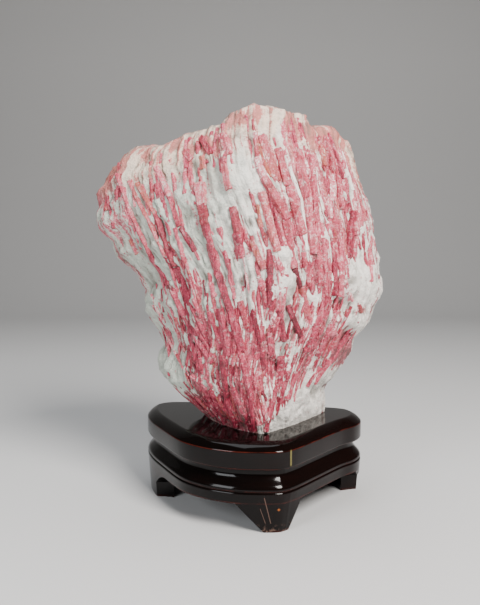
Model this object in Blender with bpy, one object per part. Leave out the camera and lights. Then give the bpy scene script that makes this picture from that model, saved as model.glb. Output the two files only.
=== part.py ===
"""Pink tourmaline in quartz matrix on its carved and lacquered wooden stand.

Run it with blender --background --python part.py, or from Blender's text editor.
+Z is up and the fan of crystals faces -Y. The origin is on the surface that the stand rests on,
under the middle of the whole object. Lengths are written in millimetres and scaled to metres when
a mesh is made. Three solids: the stone, the stand's top board and the stand's base.
"""

import math

import bmesh
import bpy
import numpy as np
from mathutils import Vector, noise
from mathutils.bvhtree import BVHTree

MM = 0.001
GAP = 0.3

# Stand heights, from the floor up
BOARD_TOP = 70.0
BOARD_BOTTOM = 50.0
BASE_TOP = BOARD_BOTTOM - GAP
APRON_BOTTOM = 23.5
POCKET_CEILING = 28.0
FOOT_WALL = 17.0
BEAD_FACE = 30.0
STAND_MIDDLE = (11.0, -5.0)

# Plan of the stand's widest line, seen from above. It starts and ends at the one sharp corner.
SHARP_CORNER = (38.0, -71.0)
PLAN_RUN = [
    (46.0, -62.5), (63.0, -41.5), (83.0, -17.0), (97.0, -3.0), (104.0, 11.0), (103.5, 26.0),
    (93.0, 39.0), (62.0, 48.0), (15.0, 58.0), (-38.0, 63.5), (-66.0, 63.0), (-80.0, 53.0),
    (-82.5, 36.0), (-77.5, 14.0), (-66.0, -11.0), (-47.0, -45.5), (-30.0, -62.0),
    (-13.0, -71.0), (2.0, -75.0), (20.0, -76.0), (31.0, -75.0),
]
PLAN_SAMPLES = 60
CORNER_BLEND = 7.0

# Profiles of the two stand pieces: distance in from the widest line, height
BOARD_PROFILE = [
    (8.2, BOARD_TOP), (4.0, 67.6), (0.7, 64.4), (0.0, 63.4), (0.0, 51.0), (0.9, BOARD_BOTTOM),
]
BASE_PROFILE = [
    (5.6, BASE_TOP), (6.6, 46.4), (6.0, 42.6), (3.6, 39.4), (1.0, 36.4), (0.2, 33.6),
    (1.0, 32.6), (0.1, 31.4), (0.2, BEAD_FACE),
]
SIDE_TOE_TAPER = 2.0
FRONT_TOE_TAPER = 5.5

# Feet along the widest line, by the distance from the sharp corner, anticlockwise from above:
# start, end, run of the bracket before and after it, height where each bracket meets the foot
FEET = [
    (117.0, 158.0, 27.0, 22.0, 13.0),
    (285.0, 369.5, 22.0, 25.0, 13.0),
    (-21.0, 3.0, 22.0, 11.0, 0.0),
]
TOE_STEP = 0.5

# Outline of the stone in the front view: x, z
LEFT_EDGE = [
    (-30, 70), (-33, 75), (-43, 82), (-51, 89), (-64, 101), (-67, 110), (-66, 122), (-64, 131),
    (-67, 140), (-73, 150), (-81, 162), (-80, 177), (-88, 190), (-94, 197), (-102, 204),
    (-106, 217), (-114, 227), (-116, 238), (-114, 245), (-116, 255), (-110, 269), (-104, 276),
]
RIGHT_EDGE = [
    (74, 70), (74, 81), (79, 95), (85, 109), (92, 122), (97, 136), (104, 144), (110, 153),
    (114, 164), (118, 177), (116, 191), (117, 206), (115, 218), (110, 232), (107, 245),
    (103, 257), (97, 271), (93, 283), (89, 292),
]
TOP_EDGE = [
    (-104, 276), (-96, 284), (-86, 291), (-73, 293), (-60, 292), (-47, 299), (-35, 303),
    (-22, 306), (-15, 309), (-9, 316), (3, 321), (10, 323), (22, 320), (40, 318), (52, 316),
    (57, 307), (73, 308), (81, 300), (89, 292),
]

# Depth of the stone at its front ridge, its two sides and its back: height share up the fan, y
RIDGE_Y = [(0.0, -49), (0.12, -55), (0.3, -61), (0.55, -63), (0.75, -59), (0.9, -47), (1.0, -26)]
LEFT_Y = [(0.0, 12), (0.3, 18), (0.6, 12), (1.0, 8)]
RIGHT_Y = [(0.0, 22), (0.3, 16), (0.6, 10), (1.0, 8)]
BACK_Y = [(0.0, 45), (0.12, 54), (0.3, 66), (0.55, 73), (0.75, 71), (0.9, 60), (1.0, 38)]
# Where the ridge runs: height share, share of the way across from left to right
RIDGE_ACROSS = [(0.0, 0.45), (0.5, 0.54), (1.0, 0.62)]
# Roundness of the flank on each side of the ridge, at the foot and in the fan
FLANK_FOOT = {"left": (1.3, 1.6), "right": (1.15, 1.1), "back": (2.2, 2.0)}
FLANK_FAN = {"left": (1.35, 1.9), "right": (1.3, 1.8), "back": (2.4, 2.2)}

SEAT_DEPTH = 5.5
SEAT_CLEARANCE = 0.35
COLUMNS = 22
ROWS = 16
TOP_ROWS = 3
# Uneven surface: wavelength and size of each noise, and the run above the board that it fades in over
ROUGHNESS = [(28.0, 3.2), (11.0, 1.6)]
ROUGHNESS_RUN = 12.0
STONE_AXIS = (5.0, 8.0)
# Broken ledge on top of the fan: height of its dome, size and wavelength of its noise
LEDGE_DOME, LEDGE_ROUGHNESS, LEDGE_WAVE = 3.0, 2.5, 9.0

# Swellings and hollows on the front, seen from the front: x, z, radius, height
LUMPS = [
    (-109, 256, 12, 3), (-107, 231, 14, 4), (-60, 112, 15, 4), (-48, 96, 10, 3),
    (34, 189, 9, 5), (33, 208, 9, 3), (92, 197, 13, 4), (98, 179, 13, 5), (93, 152, 10, 6),
    (2, 268, 16, 4), (40, 84, 16, 3), (-60, 286, 14, 4), (20, 310, 16, 4), (-20, 300, 12, 3),
    (78, 168, 7, -7), (67, 92, 9, -6), (66, 259, 6, -5), (-38, 240, 8, -4), (24, 121, 7, -4),
    (82, 147, 7, -4), (-68, 190, 9, -3),
]

# Main crystals on the front, seen from the front: x and z of the upper end, x and z of the
# lower end, width
FRONT_CRYSTALS = [
    (-97, 271, -84, 236, 5), (-84, 236, -71, 207, 5), (-71, 207, -55, 181, 6.5),
    (-54, 180, -41, 153, 7), (-40, 152, -21, 124, 7), (-87, 265, -72, 236, 5),
    (-80, 263, -65, 238, 6.5), (-65, 238, -51, 199, 7.5), (-49, 198, -38, 170, 7),
    (-37, 170, -24, 138, 6), (-65, 275, -53, 252, 8.5), (-53, 252, -47, 230, 6.5),
    (-50, 228, -43, 204, 5), (-45, 228, -35, 211, 7), (-30, 261, -26, 231, 13),
    (-26, 232, -18, 197, 10.5), (-16, 228, -5, 186, 5), (-6, 243, 0, 207, 10.5),
    (-12, 276, -8, 257, 7.5), (-17, 195, -8, 168, 9.5), (-15, 170, -9, 132, 9),
    (-7, 168, 2, 136, 9.5), (-13, 131, -10, 94, 8.5), (-9, 94, -2, 76, 8), (1, 174, 5, 152, 9),
    (10, 165, 15, 140, 7), (14, 139, 17, 120, 6.5), (3, 132, 8, 102, 7), (8, 102, 11, 76, 7),
    (-24, 165, -15, 141, 6), (-39, 143, -31, 118, 7.5), (-31, 117, -17, 90, 6),
    (-51, 158, -46, 130, 5), (-62, 148, -45, 117, 4.5), (-44, 116, -27, 84, 4.5),
    (-23, 104, -13, 77, 6), (-81, 177, -67, 149, 5), (-88, 219, -80, 196, 5),
    (17, 296, 28, 263, 9), (29, 287, 36, 259, 9.5), (36, 258, 46, 224, 9), (12, 279, 18, 265, 8),
    (18, 264, 35, 235, 10), (33, 234, 40, 198, 8), (13, 245, 15, 229, 5), (16, 254, 27, 212, 8.5),
    (22, 212, 23, 172, 7), (8, 219, 18, 198, 7), (14, 190, 21, 170, 7), (43, 286, 50, 250, 9),
    (50, 250, 55, 210, 10), (54, 280, 57, 232, 8), (58, 232, 60, 186, 7), (62, 291, 65, 276, 7.5),
    (66, 299, 75, 268, 8), (74, 290, 81, 262, 7), (72, 269, 71, 248, 8), (75, 266, 79, 240, 7),
    (86, 270, 95, 230, 8), (88, 241, 83, 206, 9), (104, 222, 104, 187, 8), (40, 198, 46, 183, 7),
    (46, 184, 52, 160, 7.5), (47, 210, 52, 184, 7), (62, 219, 65, 176, 8), (70, 210, 73, 178, 8),
    (78, 219, 78, 176, 8), (65, 174, 52, 134, 7), (74, 164, 60, 128, 6), (86, 164, 66, 122, 6),
    (88, 142, 60, 104, 7), (28, 167, 33, 144, 7), (36, 170, 46, 146, 6.5), (22, 150, 25, 124, 6.5),
    (31, 134, 31, 108, 8), (51, 136, 37, 96, 7), (42, 131, 28, 84, 6), (28, 108, 22, 76, 5.5),
]

# Main crystals on the back: share across and share up of the upper end, the same of the lower
# end, width
BACK_CRYSTALS = [
    (0.08, 0.93, 0.16, 0.40, 9), (0.17, 0.88, 0.25, 0.22, 10), (0.27, 0.96, 0.33, 0.45, 8),
    (0.36, 0.82, 0.40, 0.12, 11), (0.45, 0.95, 0.46, 0.38, 9), (0.53, 0.90, 0.52, 0.15, 12),
    (0.62, 0.97, 0.58, 0.42, 8), (0.70, 0.86, 0.63, 0.18, 10), (0.78, 0.95, 0.71, 0.33, 9),
    (0.88, 0.90, 0.78, 0.28, 9), (0.22, 0.60, 0.30, 0.10, 7), (0.68, 0.55, 0.60, 0.08, 8),
]
CRYSTAL_SIDES = 6
CRYSTAL_STATIONS = 3
# How far a crystal's middle lies under the surface, as a share of its width
CRYSTAL_SINK = 0.06
# How much a crystal's outward direction keeps of the surface's slope up or down
CRYSTAL_PITCH = 0.3
# Well in front of the stone, where the search for its surface starts
OUTSIDE = 200.0


def along(table, share):
    """Reads a table of (share, value) rows, with straight runs between its rows."""
    shares = [row[0] for row in table]
    values = [row[1] for row in table]
    return float(np.interp(share, shares, values))


def point_on(path, share):
    """The point at a share of a path's length."""
    points = np.array(path, float)
    steps = np.linalg.norm(np.diff(points, axis=0), axis=1)
    lengths = np.concatenate([[0.0], np.cumsum(steps)])
    target = share * lengths[-1]
    return np.array([np.interp(target, lengths, points[:, axis]) for axis in (0, 1)])


def elevation(across, up):
    """Front-view x and z of the stone at a share across the fan and a share up it."""
    left, right = point_on(LEFT_EDGE, up), point_on(RIGHT_EDGE, up)
    foot, top = point_on([LEFT_EDGE[0], RIGHT_EDGE[0]], across), point_on(TOP_EDGE, across)
    corners = (
        (1 - across) * (1 - up) * np.array(LEFT_EDGE[0])
        + across * (1 - up) * np.array(RIGHT_EDGE[0])
        + (1 - across) * up * np.array(LEFT_EDGE[-1])
        + across * up * np.array(RIGHT_EDGE[-1])
    )
    return (1 - across) * left + across * right + (1 - up) * foot + up * top - corners


def flank(side, offset, up):
    """How much of the full depth is left at an offset of 0 (middle) to 1 (edge)."""
    ease = min(1.0, up / 0.3)
    rise, fall = (a + (b - a) * ease for a, b in zip(FLANK_FOOT[side], FLANK_FAN[side]))
    return max(0.0, 1.0 - min(1.0, offset) ** rise) ** (1.0 / fall)


def depth(across, up, face):
    """The y of the stone's front or back surface."""
    edge = (1 - across) * along(LEFT_Y, up) + across * along(RIGHT_Y, up)
    if face == "back":
        return edge + (along(BACK_Y, up) - edge) * flank("back", abs(across - 0.5) * 2, up)
    ridge = along(RIDGE_ACROSS, up)
    if across < ridge:
        return edge + (along(RIDGE_Y, up) - edge) * flank("left", (ridge - across) / ridge, up)
    return edge + (along(RIDGE_Y, up) - edge) * flank("right", (across - ridge) / (1 - ridge), up)


def stone_point(across, up, face):
    """A point of the stone's smooth form, before its roughness."""
    x, z = elevation(across, up)
    return np.array([x, depth(across, up, face), z])


def roughened(point, face):
    """Moves a point of the smooth form in or out, by lumps and by an uneven surface."""
    axis = np.array([*STONE_AXIS, point[2]])
    outward = (point - axis) / (np.linalg.norm(point - axis) + 1e-6)
    shift = sum(size * noise.noise(Vector(point / wave)) for wave, size in ROUGHNESS)
    if face == "front":
        for x, z, radius, height in LUMPS:
            apart = math.hypot(point[0] - x, point[2] - z) / radius
            shift += height * math.exp(-apart * apart)
    settle = min(1.0, max(0.0, (point[2] - BOARD_TOP) / ROUGHNESS_RUN))
    return point + outward * shift * settle


def finish(name, mesh_source, material):
    """Turns a bmesh in millimetres into an object in metres, with its own material."""
    bmesh.ops.scale(mesh_source, vec=(MM, MM, MM), verts=mesh_source.verts)
    bmesh.ops.recalc_face_normals(mesh_source, faces=mesh_source.faces)
    mesh = bpy.data.meshes.new(name)
    mesh_source.to_mesh(mesh)
    mesh_source.free()
    mesh.materials.append(material)
    piece = bpy.data.objects.new(name, mesh)
    bpy.context.scene.collection.objects.link(piece)
    return piece


def make_material(name, colour, roughness):
    material = bpy.data.materials.new(name)
    material.use_nodes = True
    shader = material.node_tree.nodes["Principled BSDF"]
    shader.inputs["Base Color"].default_value = (*colour, 1.0)
    shader.inputs["Roughness"].default_value = roughness
    shader.inputs["Metallic"].default_value = 0.0
    return material


def skin(body, rings, closed=True):
    """Joins neighbouring rings of vertices with faces."""
    for lower, upper in zip(rings, rings[1:]):
        count = len(lower)
        for i in range(count if closed else count - 1):
            j = (i + 1) % count
            body.faces.new((lower[i], lower[j], upper[j], upper[i]))


def matrix_body():
    """The quartz body: front and back sheets that share their edges, a broken top, a flat foot."""
    body = bmesh.new()
    shares = [i / COLUMNS for i in range(COLUMNS + 1)]
    around = [(a, "front") for a in shares] + [(a, "back") for a in reversed(shares[1:-1])]
    rings = []
    for row in range(ROWS + 1):
        up = row / ROWS
        ring = [body.verts.new(roughened(stone_point(a, up, face), face)) for a, face in around]
        rings.append(ring)
    foot = [body.verts.new((v.co.x, v.co.y, BOARD_TOP - SEAT_DEPTH + GAP)) for v in rings[0]]
    skin(body, [foot] + rings)
    body.faces.new(list(reversed(foot)))
    close_top(body, rings[-1])
    bmesh.ops.triangulate(body, faces=body.faces)
    return body


def close_top(body, rim):
    """Bridges the rim's front half to its back half with a slightly domed, uneven ledge."""
    front = rim[: COLUMNS + 1]
    back = [rim[0]] + list(reversed(rim[COLUMNS + 1:])) + [rim[COLUMNS]]
    lines = [front]
    for row in range(1, TOP_ROWS):
        share = row / TOP_ROWS
        line = [front[0]]
        for near, far in zip(front[1:-1], back[1:-1]):
            place = near.co.lerp(far.co, share)
            place.z += LEDGE_DOME * math.sin(math.pi * share)
            place.z += LEDGE_ROUGHNESS * noise.noise(place / LEDGE_WAVE)
            line.append(body.verts.new(place))
        lines.append(line + [front[-1]])
    lines.append(back)
    for near, far in zip(lines, lines[1:]):
        for i in range(COLUMNS):
            corners = [near[i], near[i + 1], far[i + 1], far[i]]
            unique = list(dict.fromkeys(corners))
            body.faces.new(unique)


def crystal(stations, outward, width):
    """A six-sided pencil along its stations, lying half sunk in the surface."""
    body = bmesh.new()
    rings = []
    for number, (place, out) in enumerate(zip(stations, outward)):
        ahead = stations[min(number + 1, len(stations) - 1)]
        behind = stations[max(number - 1, 0)]
        run = (ahead - behind).normalized()
        side = run.cross(out).normalized()
        lift = side.cross(run).normalized()
        ring = []
        for corner in range(CRYSTAL_SIDES):
            angle = math.tau * corner / CRYSTAL_SIDES
            reach = side * math.cos(angle) / 2 + lift * (math.sin(angle) / 2 - CRYSTAL_SINK)
            ring.append(body.verts.new(place + reach * width))
        rings.append(ring)
    skin(body, rings)
    body.faces.new(list(reversed(rings[0])))
    body.faces.new(rings[-1])
    bmesh.ops.triangulate(body, faces=body.faces)
    return body


def crystal_on_body(tree, upper, lower, width, face):
    """Drops a crystal's stations on to the body, looking along the depth of the fan."""
    stations, outward = [], []
    start, step = (-OUTSIDE, 1.0) if face == "front" else (OUTSIDE, -1.0)
    for i in range(CRYSTAL_STATIONS):
        share = i / (CRYSTAL_STATIONS - 1)
        x, z = (u + (w - u) * share for u, w in zip(upper, lower))
        hit, normal, _, _ = tree.ray_cast(Vector((x, start, z)), Vector((0, step, 0)))
        if hit is None:
            continue
        stations.append(hit)
        outward.append(Vector((normal.x, normal.y, CRYSTAL_PITCH * normal.z)).normalized())
    return crystal(stations, outward, width) if len(stations) > 1 else None


def make_specimen(material):
    """The stone: the quartz body with its main crystals fused in by a Boolean union."""
    body = matrix_body()
    tree = BVHTree.FromBMesh(body)
    pencils = [(row[:2], row[2:4], row[4], "front") for row in FRONT_CRYSTALS]
    for a_high, u_high, a_low, u_low, width in BACK_CRYSTALS:
        pencils.append((elevation(a_high, u_high), elevation(a_low, u_low), width, "back"))
    stone = finish("specimen", body, material)
    pieces = bpy.data.collections.new("crystals")
    bpy.context.scene.collection.children.link(pieces)
    for number, (upper, lower, width, face) in enumerate(pencils):
        shape = crystal_on_body(tree, upper, lower, width, face)
        if shape is None:
            continue
        piece = finish(f"crystal_{number:02d}", shape, material)
        bpy.context.scene.collection.objects.unlink(piece)
        pieces.objects.link(piece)
        piece.hide_render = True
        piece.display_type = "WIRE"
    union = stone.modifiers.new("Fused crystals", "BOOLEAN")
    union.operation = "UNION"
    union.operand_type = "COLLECTION"
    union.solver = "EXACT"
    union.collection = pieces
    return stone


def smooth_run(points, steps=24):
    """A smooth curve through the points, as short straight steps."""
    points = np.array(points, float)
    ends = np.vstack([2 * points[0] - points[1], points, 2 * points[-1] - points[-2]])
    curve = []
    for a, b, c, d in zip(ends, ends[1:], ends[2:], ends[3:]):
        for t in np.linspace(0, 1, steps, endpoint=False):
            square = (2 * a - 5 * b + 4 * c - d) * t ** 2
            cube = (3 * b - a - 3 * c + d) * t ** 3
            curve.append(0.5 * (2 * b + (c - a) * t + square + cube))
    curve.append(points[-1])
    return np.array(curve)


def plan_line():
    """The stand's widest line as a fine closed curve, with each point's length along it."""
    curve = smooth_run([SHARP_CORNER] + PLAN_RUN + [SHARP_CORNER])
    steps = np.linalg.norm(np.diff(curve, axis=0), axis=1)
    return curve, np.concatenate([[0.0], np.cumsum(steps)])


def plan_rows(distances):
    """Points and outward directions at distances along the widest line."""
    curve, lengths = plan_line()
    whole = lengths[-1]

    def at(distance):
        distance = distance % whole
        return np.array([np.interp(distance, lengths, curve[:, axis]) for axis in (0, 1)])

    rows = []
    for distance in distances:
        run = at(distance + CORNER_BLEND) - at(distance - CORNER_BLEND)
        run /= np.linalg.norm(run)
        rows.append((at(distance), np.array([run[1], -run[0]])))
    return rows


def make_top_board(material, seat):
    """The board: bevelled rim, upright fascia, and a seat cut for the stone's foot."""
    whole = plan_line()[1][-1]
    rows = plan_rows(np.linspace(0, whole, PLAN_SAMPLES, endpoint=False))
    body = bmesh.new()
    rings = []
    for inset, height in reversed(BOARD_PROFILE):
        rings.append([body.verts.new((*(place - out * inset), height)) for place, out in rows])
    skin(body, rings)
    body.faces.new(list(reversed(rings[0])))
    body.faces.new(rings[-1])
    board = finish("stand_top_board", body, material)
    cut = board.modifiers.new("Seat", "BOOLEAN")
    cut.operation = "DIFFERENCE"
    cut.solver = "EXACT"
    cut.object = seat
    return board


def make_seat_cutter(material):
    """The room for the stone's foot, a little wider than the foot all round."""
    shares = [i / COLUMNS for i in range(COLUMNS + 1)]
    around = [(a, "front") for a in shares] + [(a, "back") for a in reversed(shares[1:-1])]
    foot = np.array([stone_point(a, 0.0, face)[:2] for a, face in around])
    ahead, behind = np.roll(foot, -1, axis=0), np.roll(foot, 1, axis=0)
    run = ahead - behind
    run /= np.linalg.norm(run, axis=1)[:, None]
    wide = foot + np.stack([run[:, 1], -run[:, 0]], axis=1) * SEAT_CLEARANCE
    body = bmesh.new()
    rings = []
    for height in (BOARD_TOP - SEAT_DEPTH, BOARD_TOP + 5.0):
        rings.append([body.verts.new((*place, height)) for place in wide])
    skin(body, rings)
    body.faces.new(list(reversed(rings[0])))
    body.faces.new(rings[-1])
    cutter = finish("seat_cutter", body, material)
    cutter.hide_render = True
    cutter.display_type = "WIRE"
    return cutter


def lower_edge(whole):
    """Stations of the base's lower edge, as (distance, height), in order round the stand."""
    stations = []
    for start, end, before, after, step in FEET:
        for share in (0.0, 0.5, 0.8, 1.0):
            drop = (APRON_BOTTOM - step) * (share if step == 0 else share ** 2)
            stations.append((start - TOE_STEP - before * (1 - share), APRON_BOTTOM - drop))
            stations.append((end + TOE_STEP + after * (1 - share), APRON_BOTTOM - drop))
        for distance in np.linspace(start, end, max(3, round((end - start) / 8))):
            stations.append((float(distance), 0.0))
    stations = [(distance % whole, height) for distance, height in stations]
    arches = []
    for distance in np.linspace(0, whole, PLAN_SAMPLES, endpoint=False):
        apart = [abs((distance - known + whole / 2) % whole - whole / 2) for known, _ in stations]
        inside = any(
            (distance - start + before) % whole < end - start + before + after
            for start, end, before, after, _ in FEET
        )
        if min(apart) > 3.0 and not inside:
            arches.append((float(distance), APRON_BOTTOM))
    return sorted(stations + arches)


def make_base(material):
    """The moulded base: cove, shoulder, bead and apron, on three bracket feet."""
    stations = lower_edge(plan_line()[1][-1])
    rows = plan_rows([distance for distance, _ in stations])
    middle = np.array(STAND_MIDDLE)
    body = bmesh.new()
    columns = []
    for (_, height), (place, out) in zip(stations, rows):
        frontness = min(1.0, max(0.0, (-place[1] - 50.0) / 20.0))
        taper = SIDE_TOE_TAPER + (FRONT_TOE_TAPER - SIDE_TOE_TAPER) * frontness
        inset = BASE_PROFILE[-1][0] + taper * (BEAD_FACE - height) / BEAD_FACE
        inward = (middle - place) / np.linalg.norm(middle - place)
        column = [(*(place - out * d), z) for d, z in BASE_PROFILE]
        column.append((*(place - out * inset), height))
        column.append((*(place + inward * FOOT_WALL), height))
        column.append((*(place + inward * FOOT_WALL), POCKET_CEILING))
        columns.append([body.verts.new(corner) for corner in column])
    rings = [list(ring) for ring in zip(*reversed(columns))]
    skin(body, rings)
    body.faces.new(list(reversed(rings[0])))
    body.faces.new(rings[-1])
    bmesh.ops.triangulate(body, faces=body.faces)
    return finish("stand_base", body, material)


def main():
    for old in list(bpy.data.objects):
        bpy.data.objects.remove(old)
    stone = make_material("quartz_and_tourmaline", (0.80, 0.52, 0.50), 0.55)
    board = make_material("polished_top_lacquer", (0.020, 0.009, 0.007), 0.08)
    base = make_material("moulded_base_lacquer", (0.030, 0.012, 0.009), 0.16)
    make_specimen(stone)
    make_top_board(board, make_seat_cutter(board))
    make_base(base)


main()
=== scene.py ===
"""Pink tourmaline in quartz matrix on its lacquered wooden stand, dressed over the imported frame.

+Z is up and the fan of crystals faces -Y. Tables are in millimetres as they were read from the
front of the stone, and meshes are in metres. Run as a script, it makes every piece in turn.
"""

import math

import bmesh
import bpy
import numpy as np
from bpy.props import (
    FloatProperty,
    FloatVectorProperty,
    IntProperty,
    PointerProperty,
)
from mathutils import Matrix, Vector, noise
from mathutils.bvhtree import BVHTree


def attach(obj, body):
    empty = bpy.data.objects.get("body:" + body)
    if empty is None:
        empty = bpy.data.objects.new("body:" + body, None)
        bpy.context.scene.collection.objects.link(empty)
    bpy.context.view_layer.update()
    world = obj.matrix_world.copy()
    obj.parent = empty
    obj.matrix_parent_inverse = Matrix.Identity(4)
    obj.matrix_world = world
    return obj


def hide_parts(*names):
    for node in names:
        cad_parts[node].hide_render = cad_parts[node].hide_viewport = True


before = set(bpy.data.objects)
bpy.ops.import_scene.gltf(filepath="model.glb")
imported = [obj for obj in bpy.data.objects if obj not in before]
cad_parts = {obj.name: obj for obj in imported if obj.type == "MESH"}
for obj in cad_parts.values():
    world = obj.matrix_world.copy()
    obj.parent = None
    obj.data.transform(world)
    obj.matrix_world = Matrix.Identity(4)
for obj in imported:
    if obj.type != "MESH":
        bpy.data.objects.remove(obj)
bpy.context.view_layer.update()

bl_info = {
    "name": "Tourmaline in Quartz on a Stand",
    "version": (1, 0, 0),
    "blender": (4, 5, 0),
    "location": "View3D > Sidebar > Mineral",
    "description": "Builds a fan of pink tourmaline in quartz on a lacquered stand",
    "category": "Add Mesh",
}

MM = 0.001

# Stand heights, from the floor up
BOARD_TOP = 70.0
BOARD_BOTTOM = 50.0
BASE_TOP = 49.7
APRON_BOTTOM = 23.5
POCKET_CEILING = 28.0
FOOT_WALL = 17.0
BEAD_FACE = 30.0
STAND_MIDDLE = (11.0, -5.0)

# Plan of the stand's widest line, seen from above. It starts and ends at the one sharp corner.
SHARP_CORNER = (38.0, -71.0)
PLAN_RUN = [
    (46.0, -62.5), (63.0, -41.5), (83.0, -17.0), (97.0, -3.0), (104.0, 11.0), (103.5, 26.0),
    (93.0, 39.0), (62.0, 48.0), (15.0, 58.0), (-38.0, 63.5), (-66.0, 63.0), (-80.0, 53.0),
    (-82.5, 36.0), (-77.5, 14.0), (-66.0, -11.0), (-47.0, -45.5), (-30.0, -62.0),
    (-13.0, -71.0), (2.0, -75.0), (20.0, -76.0), (31.0, -75.0),
]
# Reach to each side over which the outward direction is read
CORNER_BLEND = 7.0

# Profiles of the two stand pieces: distance in from the widest line, height
BOARD_PROFILE = [
    (9.4, BOARD_TOP), (8.5, 69.95), (7.8, 69.75), (6.8, 69.3), (4.0, 67.7), (1.7, 65.6),
    (0.8, 64.6), (0.25, 63.95), (0.05, 63.3), (0.0, 62.6), (0.0, 51.8), (0.1, 51.1), (0.45, 50.4),
    (1.1, BOARD_BOTTOM),
]
BASE_PROFILE = [
    (5.6, BASE_TOP), (6.3, 48.6), (6.7, 47.2), (6.7, 45.4), (6.4, 43.7), (5.8, 42.4), (4.7, 40.9),
    (3.4, 39.3), (2.1, 37.9), (1.1, 36.6), (0.5, 35.3), (0.2, 34.2), (0.35, 33.5), (1.0, 33.0),
    (1.0, 32.6), (0.4, 32.1), (0.1, 31.4), (0.05, 30.8), (0.2, BEAD_FACE),
]
# How far a foot draws in from the bead to its toe, at the sides and back and at the front, and how
# far in front of the origin the front's amount starts and the run that it comes in over
SIDE_TOE_TAPER, FRONT_TOE_TAPER = 2.0, 5.5
FRONT_START, FRONT_RUN = 50.0, 20.0
# Rings between the bead and the lower edge, and the angle in degrees that a sharp edge starts at
FOOT_SHARES = (0.25, 0.5, 0.75, 1.0)
SHARP_ANGLE = 38

# Feet along the widest line, by the distance from the sharp corner, anticlockwise from above:
# start, end, run of the bracket before and after it, height where each bracket meets the foot
FEET = [
    (117.0, 158.0, 27.0, 22.0, 13.0),
    (285.0, 369.5, 22.0, 25.0, 13.0),
    (-21.0, 3.0, 22.0, 11.0, 0.0),
]
# Run along the widest line between a foot and the bracket beside it
TOE_STEP = 0.5

# Outline of the stone in the front view: x, z
LEFT_EDGE = [
    (-30, 70), (-33, 75), (-43, 82), (-51, 89), (-64, 101), (-67, 110), (-66, 122), (-64, 131),
    (-67, 140), (-73, 150), (-81, 162), (-80, 177), (-88, 190), (-94, 197), (-102, 204),
    (-106, 217), (-114, 227), (-116, 238), (-114, 245), (-116, 255), (-110, 269), (-104, 276),
]
RIGHT_EDGE = [
    (74, 70), (74, 81), (79, 95), (85, 109), (92, 122), (97, 136), (104, 144), (110, 153),
    (114, 164), (118, 177), (116, 191), (117, 206), (115, 218), (110, 232), (107, 245),
    (103, 257), (97, 271), (93, 283), (89, 292),
]
TOP_EDGE = [
    (-104, 276), (-96, 284), (-86, 291), (-73, 293), (-60, 292), (-47, 299), (-35, 303),
    (-22, 306), (-15, 309), (-9, 316), (3, 321), (10, 323), (22, 320), (40, 318), (52, 316),
    (57, 307), (73, 308), (81, 300), (89, 292),
]

# Depth of the stone at its front ridge, its two sides and its back: height share up the fan, y
RIDGE_Y = [(0.0, -49), (0.12, -55), (0.3, -61), (0.55, -63), (0.75, -59), (0.9, -47), (1.0, -26)]
LEFT_Y = [(0.0, 12), (0.3, 18), (0.6, 12), (1.0, 8)]
RIGHT_Y = [(0.0, 22), (0.3, 16), (0.6, 10), (1.0, 8)]
BACK_Y = [(0.0, 45), (0.12, 54), (0.3, 66), (0.55, 73), (0.75, 71), (0.9, 60), (1.0, 38)]
# Where the ridge runs: height share, share of the way across from left to right
RIDGE_ACROSS = [(0.0, 0.45), (0.5, 0.54), (1.0, 0.62)]
# Roundness of the flank on each side of the ridge, at the foot and in the fan
FLANK_FOOT = {"left": (1.3, 1.6), "right": (1.15, 1.1), "back": (2.2, 2.0)}
FLANK_FAN = {"left": (1.35, 1.9), "right": (1.3, 1.8), "back": (2.4, 2.2)}
# Share of the height over which the flanks pass from the foot's roundness to the fan's
FLANK_EASE = 0.3
# Line up the middle of the stone that its relief points away from: x, y
STONE_AXIS = (5.0, 8.0)
FOOT_BELOW_BOARD = 5.2

# Uneven surface: wavelength and size of each noise, the runs above the board that the coarse and
# the fine noise fade in over, and the share of the fine one that is left at the board
COARSE = [(28.0, 3.2), (11.0, 1.6)]
FINE = [(6.5, 1.25), (2.9, 0.6)]
ROUGHNESS_RUN, FINE_RUN, FINE_LEAST = 12.0, 3.0, 0.25
# Crevices between the plates of the fan: fineness of their noise round the stone and up it, the
# scale and share of each of its waves, and how sharp they are
PLATE_TURNS, PLATE_CLIMB, PLATE_WAVES = 15.0, 3.2, [(1.0, 1.0), (0.45, 0.35)]
CREVICE_SHARPNESS = 7.0
# Steps where plates have broken off: fineness of their noise round the stone and up it, its waves,
# levels in one unit of it, and the height of that unit against a crevice's depth
STEP_TURNS, STEP_CLIMB, STEP_WAVES = 8.0, 3.6, [(1.0, 1.0), (0.4, 0.3)]
STEP_LEVELS, STEP_HEIGHT = 5.0, 2.0
# Share of the relief that the calm lobes lose
CALM_LOSES = 0.75
# Painted shade in hollows: given by a crevice, lost for each millimetre of raised grain, and most
CREVICE_SHADE, SHADE_LOST_TO_GRAIN, SHADE_MOST = 0.9, 0.4, 0.95
# Broken ledge on top: height of its dome, size and wavelength of its noise, rows of points from
# front to back, and the pink and stain added in its middle
LEDGE_DOME, LEDGE_ROUGHNESS, LEDGE_WAVE = 3.0, 2.5, 9.0
LEDGE_ROWS = 16
LEDGE_BLUSH = 0.12
# Pink added along the two sides of the fan, and the reach of that band round the stone
SIDE_BLUSH, SIDE_REACH = 0.2, 0.35

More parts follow.
